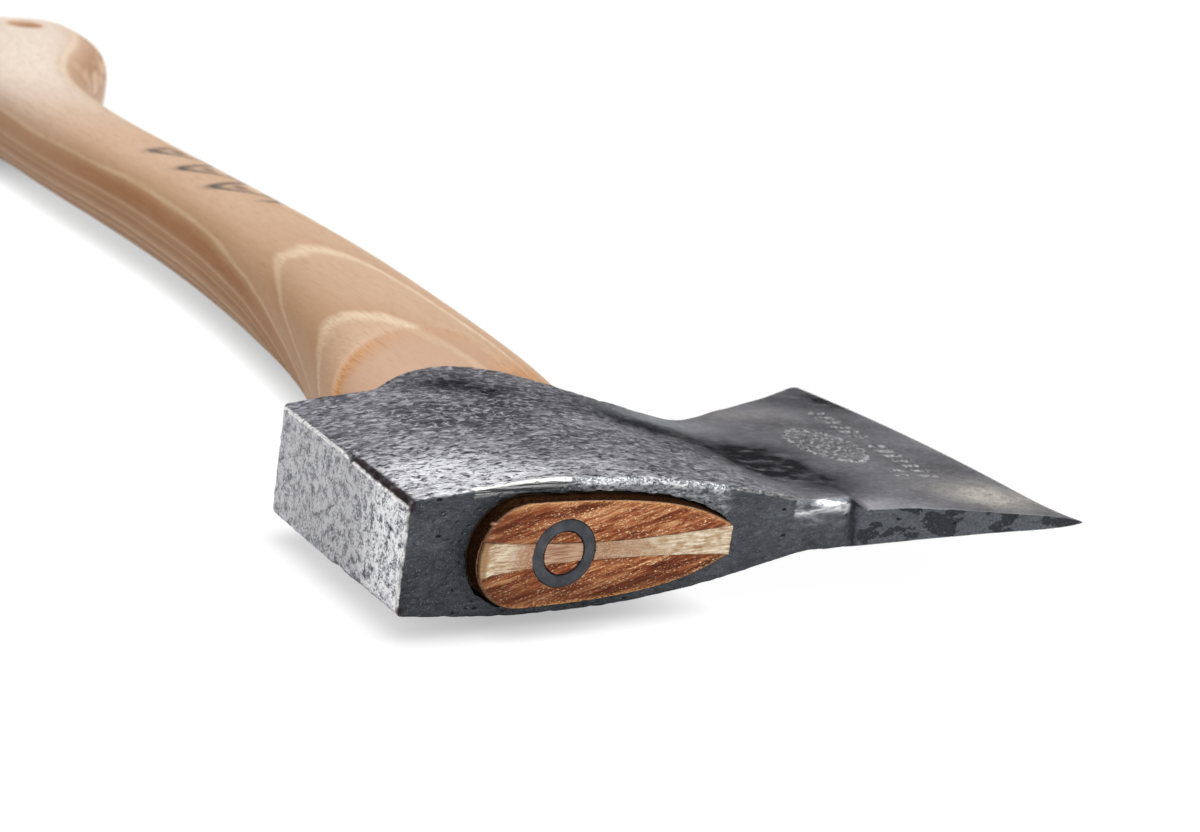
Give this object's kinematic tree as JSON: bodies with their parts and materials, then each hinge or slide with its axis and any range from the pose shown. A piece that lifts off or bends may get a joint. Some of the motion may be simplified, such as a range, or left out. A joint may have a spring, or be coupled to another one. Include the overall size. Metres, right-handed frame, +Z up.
{
  "type": "hatchet",
  "caption": "Small forged hatchet: wedge-shaped steel head with a flat poll, curved wooden handle with a knob and lanyard hole, eye held by a wooden wedge and a steel ring.",
  "frame": {"origin": "centre of the poll's flat striking face", "axes": "+X from the poll to the cutting edge, +Y from the head along the handle to the knob, +Z up through the cheek; the hatchet lies on its cheek"},
  "size_m": [0.1344, 0.3763, 0.0286],
  "materials": {
    "forged_steel": "dark forge scale, worn bright at the edges and the poll",
    "handle_wood": "oiled, satin",
    "wedge_wood": "sawn end grain, oiled",
    "ring_steel": "dark, matte"
  },
  "bodies": {
    "root": {"head": "forged_steel", "handle": "handle_wood", "wood_wedge": "wedge_wood", "ring_wedge": "ring_steel"}
  },
  "joints": []
}
